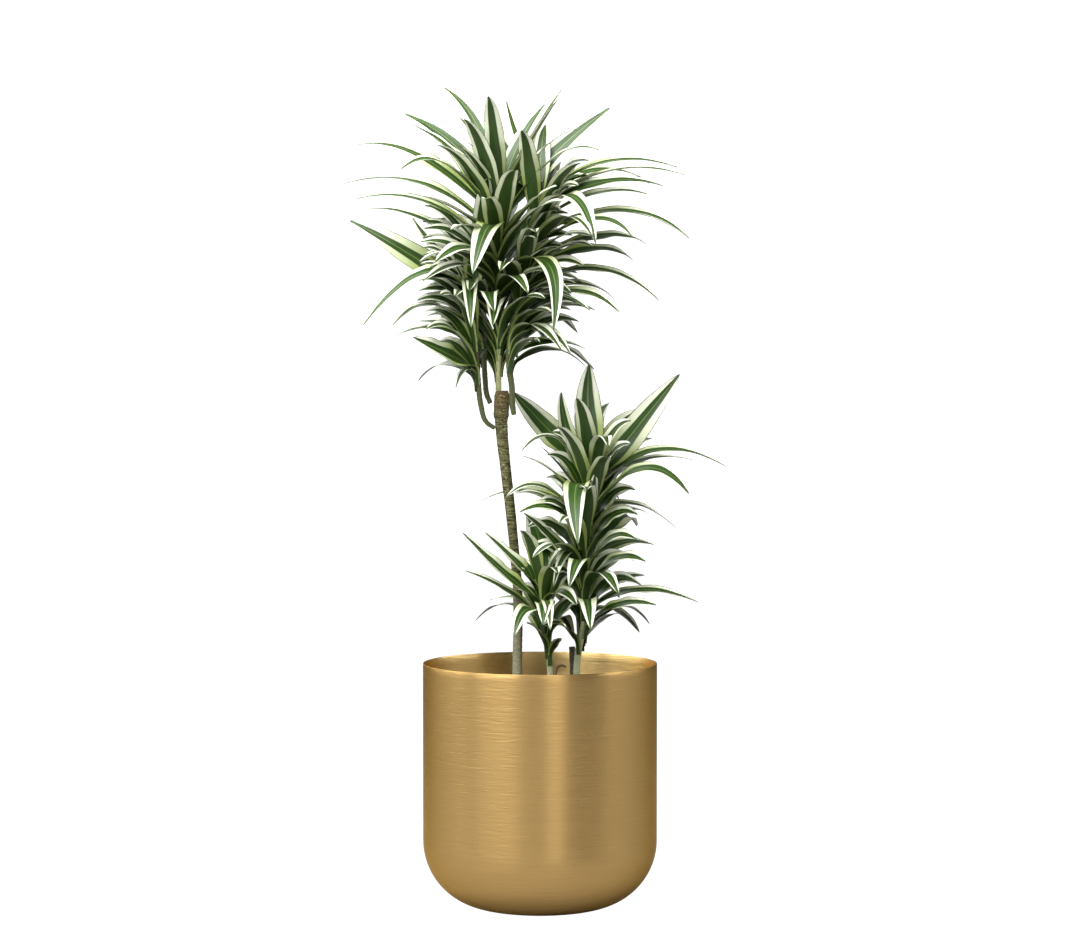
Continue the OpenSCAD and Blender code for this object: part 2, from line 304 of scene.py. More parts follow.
@dataclass
class Shape:
    """A mesh being built, with a texture place and named values at each face corner."""

    points: list[Triple] = field(default_factory=list)
    faces: list[list[int]] = field(default_factory=list)
    uvs: list[Pair] = field(default_factory=list)
    layers: dict[str, list[float]] = field(default_factory=dict)

    def add(self, points: np.ndarray) -> int:
        """Adds points.

        Args:
            points: Rows of x, y and z.

        Returns:
            Index of the first one.
        """
        first = len(self.points)
        self.points.extend(map(tuple, points.tolist()))
        return first

    def face(self, corners: list[int], uvs: list[Pair], **values: float) -> None:
        """Adds a face.

        Args:
            corners: Indices of its points, counter-clockwise from outside.
            uvs: Texture place of each corner.
            **values: Values of the face by layer name.
        """
        self.faces.append(corners)
        self.uvs.extend(uvs)
        for name, value in values.items():
            self.layers.setdefault(name, []).extend([value] * len(corners))

    def tube(self, rings: np.ndarray, along: np.ndarray, **values: float) -> None:
        """Adds a closed tube through rings, with a fan over each end.

        Args:
            rings: Points as ring, place round it, coordinate; each ring turns left along the tube.
            along: Texture height of each ring.
            **values: Values of its faces by layer name.
        """
        count, sides = rings.shape[:2]
        first = self.add(rings.reshape(-1, 3))
        for i in range(count - 1):
            low, high = along[i], along[i + 1]
            for k in range(sides):
                n = (k + 1) % sides
                a, b = first + i * sides + k, first + i * sides + n
                u, v = k / sides, (k + 1) / sides
                uvs = [(u, low), (v, low), (v, high), (u, high)]
                self.face([a, b, b + sides, a + sides], uvs, **values)
        for ring, turn in ((0, -1), (count - 1, 1)):
            hub = self.add(rings[ring].mean(axis=0)[None, :])
            for k in range(sides):
                a = first + ring * sides + k
                b = first + ring * sides + (k + 1) % sides
                corners = [hub, a, b] if turn > 0 else [hub, b, a]
                self.face(corners, [(0.5, along[ring])] * 3, **values)

    def finish(self, name: str, sharp_deg: float) -> bpy.types.Object:
        """Makes the mesh object.

        Args:
            name: Name of the piece.
            sharp_deg: Angle above which an edge is drawn sharp.

        Returns:
            The object, in the scene.
        """
        mesh = bpy.data.meshes.new(name)
        mesh.from_pydata(self.points, [], self.faces)
        layer = mesh.uv_layers.new(name="UVMap")
        layer.data.foreach_set("uv", np.array(self.uvs, dtype=np.float32).ravel())
        for key, values in self.layers.items():
            attribute = mesh.attributes.new(key, "FLOAT", "CORNER")
            attribute.data.foreach_set("value", np.array(values, dtype=np.float32))
        mesh.update()
        mesh.shade_smooth()
        mesh.set_sharp_from_angle(angle=math.radians(sharp_deg))
        piece = bpy.data.objects.new(name, mesh)
        bpy.context.scene.collection.objects.link(piece)
        return piece


class Part:
    """A visible part of the plant or its planter, drawn for one CAD node."""

    node: str
    slot: Slot

    def dress(self, piece: bpy.types.Object, material: bpy.types.Material) -> None:
        """Gives the built piece its finish and the place of its CAD node.

        Args:
            piece: The built piece.
            material: Its finish.
        """
        piece.data.materials.append(material)
        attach(piece, BODY)
        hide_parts(self.node)
        log.info("%s: %d faces for %s", piece.name, len(piece.data.polygons), self.node)


# ---- Finishes ----


class Nodes:
    """Node tree of a material under construction."""

    def __init__(self, name: str) -> None:
        """Starts a material with one Principled shader.

        Args:
            name: Name of the material.
        """
        self.material = bpy.data.materials.new(name)
        self.material.use_nodes = True
        self.tree = self.material.node_tree
        self.shader = self.tree.nodes["Principled BSDF"]

    def set(self, **sockets: object) -> None:
        """Sets or links sockets of the shader, named with _ for a space."""
        self.fill(self.shader, {key.replace("_", " "): value for key, value in sockets.items()})

    def fill(self, node: bpy.types.Node, sockets: dict) -> None:
        """Sets or links sockets of a node.

        Args:
            node: The node.
            sockets: Socket name or index to a constant or an output socket.
        """
        for key, value in sockets.items():
            if isinstance(value, bpy.types.NodeSocket):
                self.tree.links.new(value, node.inputs[key])
            else:
                node.inputs[key].default_value = value

    def add(self, kind: str, sockets: dict | None = None, **settings: object) -> bpy.types.Node:
        """Adds a node.

        Args:
            kind: Node type without its ShaderNode prefix.
            sockets: Socket name or index to a constant or an output socket.
            **settings: Attributes of the node.

        Returns:
            The node.
        """
        node = self.tree.nodes.new("ShaderNode" + kind)
        for key, value in settings.items():
            setattr(node, key, value)
        self.fill(node, sockets or {})
        return node

    def math(self, operation: str, *values: object) -> bpy.types.NodeSocket:
        """Output of a Math node on constants or sockets."""
        node = self.add("Math", dict(enumerate(values)), operation=operation)
        return node.outputs[0]

    def attribute(self, name: str) -> bpy.types.NodeSocket:
        """Value of a named mesh layer."""
        return self.add("Attribute", attribute_name=name).outputs["Fac"]

    def mix(self, factor: object, a: object, b: object, blend: str = "MIX") -> bpy.types.NodeSocket:
        """Mixes two colours.

        Args:
            factor: Share of the second one.
            a: First colour.
            b: Second colour.
            blend: How they combine.

        Returns:
            The mixed colour.
        """
        node = self.add("Mix", data_type="RGBA", blend_type=blend)
        self.fill(node, {0: factor, 6: a, 7: b})
        return node.outputs[2]

    def ramp(self, value: object, stops: Sequence[tuple[float, object]]) -> bpy.types.NodeSocket:
        """Colour ramp.

        Args:
            value: Where on the ramp.
            stops: Place and colour, or grey level, of each stop.

        Returns:
            The colour.
        """
        node = self.add("ValToRGB", {0: value})
        band = node.color_ramp
        while len(band.elements) < len(stops):
            band.elements.new(0.5)
        for element, (place, colour) in zip(band.elements, stops):
            element.position = place
            grey = isinstance(colour, (int, float))
            element.color = (colour, colour, colour, 1.0) if grey else colour
        return node.outputs[0]

    def rise(
        self, value: object, start: float, end: float, low: object = 0.0, high: object = 1.0
    ) -> bpy.types.NodeSocket:
        """Colour ramp that is level up to its start and from its end on.

        Args:
            value: Where on the ramp.
            start: Where it starts to change.
            end: Where it has changed.
            low: Colour or grey level up to its start.
            high: Colour or grey level from its end on.

        Returns:
            The colour.
        """
        return self.ramp(value, [(0.0, low), (start, low), (end, high), (1.0, high)])

    def stretched(self, source: object, scale: Triple) -> bpy.types.NodeSocket:
        """Coordinates scaled along each axis."""
        return self.add("Mapping", {"Vector": source, "Scale": scale}).outputs[0]

    def noise(
        self, where: object, detail: float = 3.0, rough: float = 0.6, warp: float = 0.0
    ) -> bpy.types.NodeSocket:
        """Noise value at coordinates.

        Args:
            where: Coordinates, already scaled.
            detail: Octaves.
            rough: Weight of the finer octaves.
            warp: How far it is bent.

        Returns:
            Value between 0 and 1.
        """
        sockets = {"Vector": where, "Scale": 1.0, "Detail": detail, "Roughness": rough}
        return self.add("TexNoise", sockets | {"Distortion": warp}).outputs[0]

    def bump(self, height: object, depth: float, under: object = None) -> bpy.types.NodeSocket:
        """Normal of a relief.

        Args:
            height: Height between 0 and 1.
            depth: Depth of the relief in metres.
            under: Normal that it adds to.

        Returns:
            The normal.
        """
        sockets = {"Height": height, "Strength": 1.0, "Distance": depth}
        if under is not None:
            sockets["Normal"] = under
        return self.add("Bump", sockets).outputs[0]


@dataclass(frozen=True)
class BrushedGold:
    """Golden sheet metal, brushed round the planter, with its inner wall painted paler.

    The paler side is a painted reflection of brighter light inside the planter, and is what lies
    within inner_radius and above corner_height. Scales are waves a metre along x, y and z, so the
    streaks and the finer grain both run round the wall.
    """

    inner_radius: float
    corner_height: float
    light: str = "DBB676"
    deep: str = "C49F63"
    # Paler gold of the inner wall: a painted reflection of the brighter light inside the planter.
    inside: str = "F0D08C"
    edge: str = "EDD9AE"
    roughness: float = 0.34
    anisotropy: float = 0.75
    quarter_turn: float = 0.25
    streak_scale: Triple = (22.0, 22.0, 240.0)
    streak_warp: float = 1.2
    streak_depth: float = 0.4 * MM
    grain_scale: Triple = (9.0, 9.0, 1500.0)
    grain_depth: float = 0.02 * MM

    def build(self) -> bpy.types.Material:
        """Makes the material.

        Returns:
            The material.
        """
        n = Nodes("brushed_gold")
        place = n.add("TexCoord").outputs["Object"]
        where = n.stretched(place, self.streak_scale)
        streaks = n.noise(where, detail=2.0, rough=0.5, warp=self.streak_warp)
        grain = n.noise(n.stretched(place, self.grain_scale))
        tangent = n.add("Tangent", direction_type="RADIAL", axis="Z").outputs[0]
        coarse = n.bump(streaks, self.streak_depth)
        flat = n.add("VectorMath", {0: place, 1: (1.0, 1.0, 0.0)}, operation="MULTIPLY").outputs[0]
        radius = n.add("VectorMath", {0: flat}, operation="LENGTH").outputs["Value"]
        height = n.add("SeparateXYZ", {0: place}).outputs[2]
        # Mask of the inner wall above the corner, which gets the paler colour: a painted reflection.
        above = n.math("GREATER_THAN", height, self.corner_height)
        inside = n.math("MULTIPLY", above, n.math("LESS_THAN", radius, self.inner_radius))
        colour = n.mix(grain, srgb(self.deep), srgb(self.light))
        n.set(
            Base_Color=n.mix(inside, colour, srgb(self.inside)),
            Metallic=1.0,
            Specular_Tint=srgb(self.edge),
            Roughness=self.roughness,
            Anisotropic=self.anisotropy,
            Anisotropic_Rotation=self.quarter_turn,
            Tangent=tangent,
            Normal=n.bump(grain, self.grain_depth, coarse),
        )
        return n.material


@dataclass(frozen=True)
class WaxyLeaf:
    """Variegated leaf: dark green centre, cream bands with lime painted shade, thin green margin.

    Places across the blade run from 0 at its rib to 1 at its edge, and places along it from 0 at
    its foot to 1 at its tip.
    """

    green_dark: str = "13240A"
    green_light: str = "355717"
    white_band: str = "F5F8E2"
    # Lime of the rib; also the painted shade tint of the bands near a leaf's foot and in low leaves.
    lime_band: str = "9DAC62"
    under_green: str = "2E441A"
    margin: str = "1C2C10"
    roughness: float = 0.38
    gloss: float = 0.4
    seed_scale: Pair = (31.0, 57.0)
    vein_scale: Triple = (46.0, 1.6, 1.0)
    vein_edges: Pair = (0.36, 0.66)
    vein_depth: float = 0.1 * MM
    drift_scale: Triple = (7.0, 2.2, 1.0)
    drift: float = 0.22
    band_edges: Pair = (0.42, 0.50)
    band_spread: float = 0.2
    spread_ends: Pair = (0.12, 0.55)
    tone_share: float = 0.4
    rib_stops: Stops = ((0.0, 0.45), (0.03, 0.30), (0.06, 0.0), (1.0, 0.0))
    # How far past the painted shade reach a band turns from the lime painted shade to white.
    lime_reach: float = 0.42
    margin_edges: Pair = (0.935, 0.96)
    tip_green: Pair = (0.93, 0.985)
    under_bands: float = 0.8

    def build(self) -> bpy.types.Material:
        """Makes the material.

        Returns:
            The material.
        """
        n = Nodes("waxy_leaf")
        uv = n.add("UVMap", uv_map="UVMap").outputs[0]
        split = n.add("SeparateXYZ", {0: uv})
        across, along = split.outputs[0], split.outputs[1]
        tone, warmth = n.attribute("tone"), n.attribute("warmth")
        under, band = n.attribute("under"), n.attribute("band")
        seeds = {i: n.math("MULTIPLY", tone, scale) for i, scale in enumerate(self.seed_scale)}
        seed = n.add("CombineXYZ", seeds).outputs[0]
        shifted = n.add("VectorMath", {0: uv, 1: seed}, operation="ADD").outputs[0]
        veins = n.noise(n.stretched(shifted, self.vein_scale))
        drift = n.noise(n.stretched(shifted, self.drift_scale), detail=2.0, rough=0.5)
        edge = n.math("ABSOLUTE", n.math("MULTIPLY_ADD", across, 2.0, -1.0))
        moved = n.math("MULTIPLY_ADD", n.math("SUBTRACT", drift, 0.5), self.drift, edge)
        moved = n.math("ADD", moved, band)
        spread = n.math("MULTIPLY", n.rise(along, *self.spread_ends, 1.0, 0.0), self.band_spread)
        moved = n.math("SUBTRACT", moved, spread)
        mask = n.rise(moved, *self.band_edges)
        green = n.mix(n.rise(veins, *self.vein_edges), srgb(self.green_dark), srgb(self.green_light))
        tint = n.mix(n.math("MULTIPLY", tone, self.tone_share), green, srgb(self.green_light))
        tint = n.mix(n.ramp(edge, self.rib_stops), tint, srgb(self.lime_band))
        # Bands are lime near the foot of each leaf and white farther out: painted shade inside the
        # plant.
        whiter = [(0.0, 0.0), (self.lime_reach, 1.0), (1.0, 1.0)]
        pale = n.ramp(n.math("SUBTRACT", along, warmth), whiter)
        cream = n.mix(pale, srgb(self.lime_band), srgb(self.white_band))
        fading, faded = self.tip_green
        body = n.ramp(along, [(0.0, 1.0), (fading, 1.0), (faded, 0.1), (1.0, 0.0)])
        striped = n.math("MULTIPLY", mask, body)
        rim = n.rise(edge, *self.margin_edges)
        blade = n.mix(rim, n.mix(striped, tint, cream), srgb(self.margin))
        below = n.mix(n.math("MULTIPLY", striped, self.under_bands), srgb(self.under_green), cream)
        below = n.mix(rim, below, srgb(self.margin))
        n.set(
            Base_Color=n.mix(under, blade, below),
            Roughness=self.roughness,
            Specular_IOR_Level=self.gloss,
            Normal=n.bump(veins, self.vein_depth),
        )
        return n.material


class BarkKind(Enum):
    """Kinds of bark: dark, light, fleck, low and high colours."""

    CANE = ("37341B", "7B7A50", "B0AE88", "A3A287", "7D5E3C")
    STUMP = ("33302A", "6B665A", "8E8A7A", "5A5648", "5A5648")
    ROOT = ("5A4630", "8C7454", "A58E6C", "8C7454", "8C7454")


@dataclass(frozen=True)
class Bark:
    """Ringed bark with pale flecks; its low and high colours come in over a range of heights."""

    kind: BarkKind
    ring_scale: Triple = (60.0, 60.0, 420.0)
    ring_edges: Pair = (0.40, 0.62)
    ring_depth: float = 0.6 * MM
    patch_scale: Triple = (40.0, 40.0, 30.0)
    shade_stops: Stops = ((0.0, 0.55), (0.4, 0.75), (0.65, 1.0), (1.0, 1.0))
    fleck_scale: Triple = (300.0, 300.0, 480.0)
    fleck_edges: Pair = (0.62, 0.69)
    low_stretch: Pair = (0.36, 0.52)
    low_share: float = 0.6
    high_stretch: Pair = (0.72, 0.78)
    high_share: float = 0.5
    roughness: float = 0.75
    gloss: float = 0.25

    def build(self) -> bpy.types.Material:
        """Makes the material.

        Returns:
            The material.
        """
        dark, light, fleck, low, high = self.kind.value
        n = Nodes("bark_" + self.kind.name.lower())
        place = n.add("TexCoord").outputs["Object"]
        rings = n.noise(n.stretched(place, self.ring_scale))
        patches = n.noise(n.stretched(place, self.patch_scale))
        flecks = n.noise(n.stretched(place, self.fleck_scale), detail=2.0, rough=0.5)
        height = n.add("SeparateXYZ", {0: place}).outputs[2]
        tone = n.rise(rings, *self.ring_edges, srgb(dark), srgb(light))
        tone = n.mix(1.0, tone, n.ramp(patches, self.shade_stops), "MULTIPLY")
        tone = n.mix(n.rise(height, *self.low_stretch, self.low_share, 0.0), tone, srgb(low))
        tone = n.mix(n.rise(height, *self.high_stretch, 0.0, self.high_share), tone, srgb(high))
        bare, full = self.fleck_edges
        spots = n.ramp(flecks, [(0.0, 0.0), (bare, 0.0), (full, 0.85), (1.0, 0.9)])
        n.set(
            Base_Color=n.mix(spots, tone, srgb(fleck)),
            Roughness=self.roughness,
            Specular_IOR_Level=self.gloss,
            Normal=n.bump(rings, self.ring_depth),
        )
        return n.material


class ShootKind(Enum):
    """Kinds of shoot: dark, pale and foot colours."""

    GROUND = ("4F5F2E", "98A373", "C2C7AA")
    SIDE = ("343A1F", "5C6238", "454A2A")
    CROWN = ("717C40", "A9AE74", "B0B283")


@dataclass(frozen=True)
class YoungStem:
    """Green shoot with its own foot colour, which fades out along it."""

    kind: ShootKind
    ring_scale: Triple = (50.0, 50.0, 330.0)
    ring_edges: Pair = (0.3, 0.7)
    ring_depth: float = 0.3 * MM
    foot_fade: Pair = (0.35, 0.65)
    roughness: float = 0.55

    def build(self) -> bpy.types.Material:
        """Makes the material.

        Returns:
            The material.
        """
        green, pale, foot = self.kind.value
        n = Nodes("stem_" + self.kind.name.lower())
        uv = n.add("UVMap", uv_map="UVMap").outputs[0]
        along = n.add("SeparateXYZ", {0: uv}).outputs[1]
        place = n.add("TexCoord").outputs["Object"]
        rings = n.noise(n.stretched(place, self.ring_scale))
        skin = n.mix(n.rise(rings, *self.ring_edges), srgb(green), srgb(pale))
        low = n.rise(along, *self.foot_fade, 1.0, 0.0)
        n.set(
            Base_Color=n.mix(low, skin, n.mix(rings, srgb(foot), srgb(pale))),
            Roughness=self.roughness,
            Normal=n.bump(rings, self.ring_depth),
        )
        return n.material


@dataclass(frozen=True)
class PottingMix:
    """Moist dark potting mix."""

    dark: str = "1D1510"
    light: str = "5B4636"
    grain_scale: Triple = (260.0, 260.0, 260.0)
    grain_edges: Pair = (0.45, 0.75)
    grain_depth: float = 1.2 * MM
    lump_scale: Triple = (60.0, 60.0, 60.0)
    shade_stops: Stops = ((0.3, 0.5), (0.7, 1.0))
    roughness: float = 0.9
    gloss: float = 0.2

    def build(self) -> bpy.types.Material:
        """Makes the material.

        Returns:
            The material.
        """
        n = Nodes("potting_mix")
        place = n.add("TexCoord").outputs["Object"]
        grains = n.noise(n.stretched(place, self.grain_scale), detail=4.0, rough=0.65)
        lumps = n.noise(n.stretched(place, self.lump_scale))
        tone = n.rise(grains, *self.grain_edges, srgb(self.dark), srgb(self.light))
        n.set(
            Base_Color=n.mix(1.0, tone, n.ramp(lumps, self.shade_stops), "MULTIPLY"),
            Roughness=self.roughness,
            Specular_IOR_Level=self.gloss,
            Normal=n.bump(grains, self.grain_depth),
        )
        return n.material


@dataclass(frozen=True)
class PalePaint:
    """Plain pale matt paint, which may glow a little."""

    name: str
    colour: str
    glow: float = 0.0
    roughness: float = 0.9
    gloss: float = 0.1

    def build(self) -> bpy.types.Material:
        """Makes the material.

        Returns:
            The material.
        """
        n = Nodes(self.name)
        n.set(
            Base_Color=srgb(self.colour),
            Roughness=self.roughness,
            Specular_IOR_Level=self.gloss,
            Emission_Color=(1.0, 1.0, 1.0, 1.0),
            Emission_Strength=self.glow,
        )
        return n.material


# ---- Planter and soil ----


@dataclass
class Planter(Part):
    """Spun sheet-metal planter, its rim eased by rim_radius and by rim_share of it half way."""

    node: str = "planter_shell"
    slot: Slot = Slot.PLANTER
    segments: int = 192
    wall_steps: int = 24
    rim_radius: float = 0.4 * MM
    rim_share: float = 0.3

    @property
    def sheet(self) -> float:
        """Thickness of the sheet, read at the rim.

        Returns:
            The thickness.
        """
        points = np.vstack([i.points for i in islands(self.node)])
        rim = points[points[:, 2] > points[:, 2].max() - LEVEL]
        reach = np.hypot(rim[:, 0], rim[:, 1])
        return float(reach.max() - reach.min())

    def build(self) -> bpy.types.Object:
        """Turns the outline round the axis.

        Returns:
            The planter.
        """
        cup = Cup.read(self.node)
        sheet = self.sheet
        inside = cup.radius - sheet
        soft = self.rim_radius
        ease = self.rim_share * soft
        outer = cup.outline()
        inner = cup.outline(sheet)
        wall = np.linspace(0.0, 1.0, self.wall_steps + 1)[1:]
        top = cup.high - soft
        outer += [(cup.radius, float(outer[-1][1] * (1 - t) + top * t)) for t in wall]
        inner += [(inside, float(inner[-1][1] * (1 - t) + top * t)) for t in wall]
        edge = [(cup.radius - ease, cup.high - ease), (cup.radius - soft, cup.high)]
        back = [(inside + soft, cup.high), (inside + ease, cup.high - ease)]
        line = np.array(outer + edge + back + inner[::-1])
        shape = Shape()
        spans = np.linalg.norm(np.diff(line, axis=0), axis=1)
        rings = turned(line, self.segments, 0.25 * TURN)
        shape.tube(rings, np.concatenate([[0.0], np.cumsum(spans)]))
        return shape.finish("planter_brushed", sharp_deg=40.0)


@dataclass
class SoilBed(Part):
    """Filling of the planter with a crumbly surface.

    Each swell is the scale, the level and the share of one noise in the relief. Near the wall the
    soil has settled by a share of the relief.
    """

    seed: int
    node: str = "potting_soil"
    slot: Slot = Slot.SOIL
    segments: int = 128
    surface_rings: int = 46
    hub_radius: float = 2.0 * MM
    relief: float = 4.0 * MM
    swells: tuple[Triple, ...] = ((22.0, 1.7, 0.6), (120.0, 5.3, 0.5))
    settled: float = 0.4
    settled_from: float = 0.75
    crumbs: int = 520
    crumb_sizes: Pair = (2.0 * MM, 5.5 * MM)
    crumb_stretch: Pair = (0.6, 1.4)
    crumb_bulge: Pair = (0.75, 1.05)
    crumb_height: float = 0.6
    crumb_cut: float = 0.8
    crumb_lift: float = 0.2
    crumb_rings: int = 4
    crumb_sides: int = 6
    crumb_margin: float = 8.0 * MM

    def height(self, x: float, y: float, reach: float, rim: float) -> float:
        """Height of the surface above its mean level.

        Args:
            x: Place to the right.
            y: Place to the back.
            reach: Distance from the axis.
            rim: Radius of the bed.

        Returns:
            The height.
        """
        swell = sum(
            share * noise.noise(Vector((x * scale, y * scale, level)))
            for scale, level, share in self.swells
        )
        return self.relief * (swell - self.settled * smooth(self.settled_from * rim, rim, reach))

    def build(self) -> bpy.types.Object:
        """Builds the bed and its crumbs.

        Returns:
            The soil.
        """
        rng = np.random.default_rng(self.seed)
        cup = Cup.read(self.node)
        level = cup.high - self.relief
        side = cup.outline() + [(cup.radius, level)]
        reaches = np.linspace(cup.radius, self.hub_radius, self.surface_rings + 1)[1:]
        rings = turned(np.array(side + [(reach, level) for reach in reaches]), self.segments)
        for ring, reach in zip(rings[len(side) :], reaches):
            ring[:, 2] += [self.height(x, y, reach, cup.radius) for x, y in ring[:, :2]]
        shape = Shape()
        shape.tube(rings, np.linspace(0.0, 1.0, len(rings)))
        for _ in range(self.crumbs):
            self.add_crumb(shape, rng, cup.radius - self.crumb_margin, level)
        return shape.finish("soil_bed", sharp_deg=35.0)

    def add_crumb(self, shape: Shape, rng: np.random.Generator, rim: float, level: float) -> None:
        """Adds one crumb of bark or peat.

        Args:
            shape: The mesh that it joins.
            rng: Source of its size and place.
            rim: Farthest it may lie from the axis.
            level: Mean level of the surface.
        """
        size = rng.uniform(*self.crumb_sizes)
        reach, bearing = rim * math.sqrt(rng.uniform()), rng.uniform(0.0, TURN)
        x, y = reach * math.cos(bearing), reach * math.sin(bearing)
        z = level + self.height(x, y, reach, rim) + self.crumb_lift * size
        rings = np.empty((self.crumb_rings, self.crumb_sides, 3))
        spin = rng.uniform(0.0, math.pi)
        stretch = rng.uniform(*self.crumb_stretch)
        for i, rise in enumerate(np.linspace(-self.crumb_cut, self.crumb_cut, self.crumb_rings)):
            girth = math.sqrt(1.0 - rise * rise)
            for k in range(self.crumb_sides):
                turn = TURN * k / self.crumb_sides
                bulge = size * rng.uniform(*self.crumb_bulge)
                u, v = bulge * girth * stretch * math.cos(turn), bulge * girth * math.sin(turn)
                rings[i, k] = (
                    x + u * math.cos(spin) - v * math.sin(spin),
                    y + u * math.sin(spin) + v * math.cos(spin),
                    z + self.crumb_height * size * rise,
                )
        shape.tube(rings, np.linspace(0.0, 1.0, self.crumb_rings))


# ---- Canes, roots and shoots ----


@dataclass
class RoundStem(Part):
    """A cane, root or shoot with ring scars, drawn round its CAD path.

    Its foot may flare into ribs. Noises are read at grain_radius from the centre line.
    """

    node: str
    name: str
    slot: Slot
    sides: int
    scar_gap: float = 9.0 * MM
    scar_height: float = 0.35 * MM
    scar_share: float = 0.13
    wander: float = 0.35
    wander_scale: float = 55.0
    lump: float = 0.25 * MM
    lump_scale: float = 170.0
    grain_radius: float = 8.0 * MM
    flare: float = 0.0
    flare_height: float = 14.0 * MM
    rib_place: Pair = (3.0, 0.3)
    rib_height: float = 12.0
    step: float = 1.3 * MM
    round_sides: int = 40

    def build(self, soil_level: float) -> bpy.types.Object:
        """Builds the stem.

        Args:
            soil_level: Height of the soil surface, from which a foot flares.

        Returns:
            The stem.
        """
        arc, centres, radii = StemPath.read(self.node, self.sides).fine(self.step)
        ahead = unit(np.gradient(centres, arc, axis=0))
        side = unit(np.cross(np.array([0.0, 1.0, 0.0]), ahead))
        front = np.cross(ahead, side)
        turns = TURN * np.arange(self.round_sides) / self.round_sides
        rings = np.empty((len(arc), self.round_sides, 3))
        for i, s in enumerate(arc):
            foot = self.flare * math.exp(-max(0.0, centres[i, 2] - soil_level) / self.flare_height)
            for k, turn in enumerate(turns):
                out = math.cos(turn) * side[i] + math.sin(turn) * front[i]
                skin = self.relief(s, out, centres[i], foot)
                rings[i, k] = centres[i] + out * (radii[i] * (1.0 + foot) + skin)
        shape = Shape()
        shape.tube(rings, arc / arc[-1])
        return shape.finish(self.name, sharp_deg=50.0)

    def relief(self, arc: float, out: np.ndarray, centre: np.ndarray, foot: float) -> float:
        """Height of the skin above the CAD radius.

        Args:
            arc: Distance along the stem.
            out: Direction from the centre line.
            centre: Point of the centre line.
            foot: Share by which the foot flares here.

        Returns:
            The height.
        """
        where = Vector(centre + out * self.grain_radius)
        wander = noise.noise(where * self.wander_scale) * self.wander
        phase = (arc / self.scar_gap + wander) % 1.0
        scar = math.exp(-(((phase - 0.5) / self.scar_share) ** 2))
        lump = noise.noise(where * self.lump_scale)
        scale, level = self.rib_place
        ribs = noise.noise(Vector((out[0] * scale, out[1] * scale, level))) * foot * self.rib_height
        return self.scar_height * scar + self.lump * (lump + ribs)


# ---- Leaves ----

# Stations along a leaf where the CAD frame draws its cross-section.
LEAF_STATIONS = np.array([0.0, 0.1, 0.24, 0.4, 0.56, 0.72, 0.87])

# Width of its foot as a share of the widest, place of the widest, and how blunt its tip is.
FOOT_SHARE = 0.28
WIDEST_AT = 0.45
TIP_POWER = 0.8


def leaf_width(t: np.ndarray) -> np.ndarray:
    """Width of a blade along its length, as a share of its widest."""
    swell = FOOT_SHARE + (1.0 - FOOT_SHARE) * np.sin(0.25 * TURN * np.minimum(1.0, t / WIDEST_AT))
    return swell * (1.0 - t**3) ** TIP_POWER


